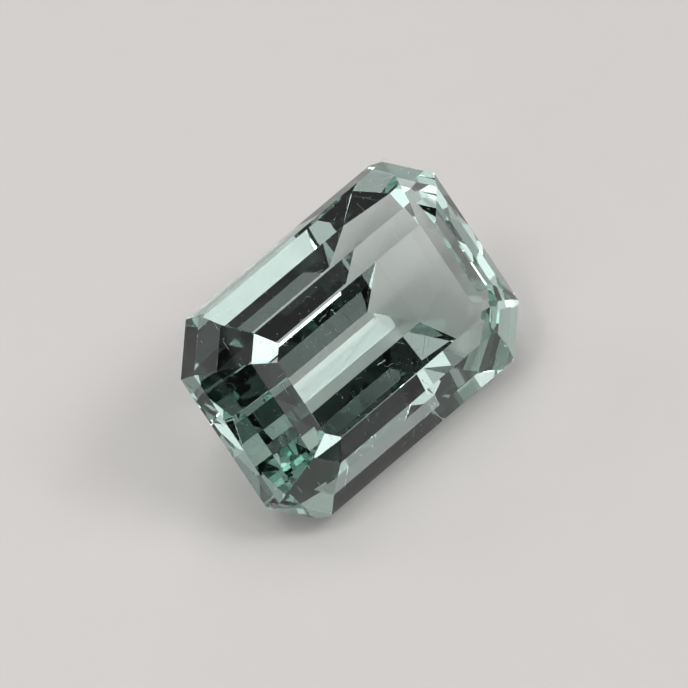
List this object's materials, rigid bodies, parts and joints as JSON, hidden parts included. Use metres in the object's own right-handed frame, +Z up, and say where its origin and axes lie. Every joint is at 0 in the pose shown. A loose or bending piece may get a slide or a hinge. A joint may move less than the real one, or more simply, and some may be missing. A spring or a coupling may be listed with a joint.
{
  "type": "cut tourmaline gemstone",
  "caption": "Loose faceted gemstone, an emerald cut: an oblong with cut corners and rows of stepped facets above and below its girdle.",
  "frame": {"origin": "on the surface that the stone lies on, under the middle of its box", "axes": "+Z up, +X along the stone's length, and the table leans towards -Y because the stone lies on a broad facet of its underside"},
  "size_m": [0.009, 0.0048, 0.0049],
  "materials": {
    "tourmaline": "polished clear crystal, pale blue-green"
  },
  "bodies": {
    "root": {"stone": "tourmaline"}
  },
  "joints": []
}
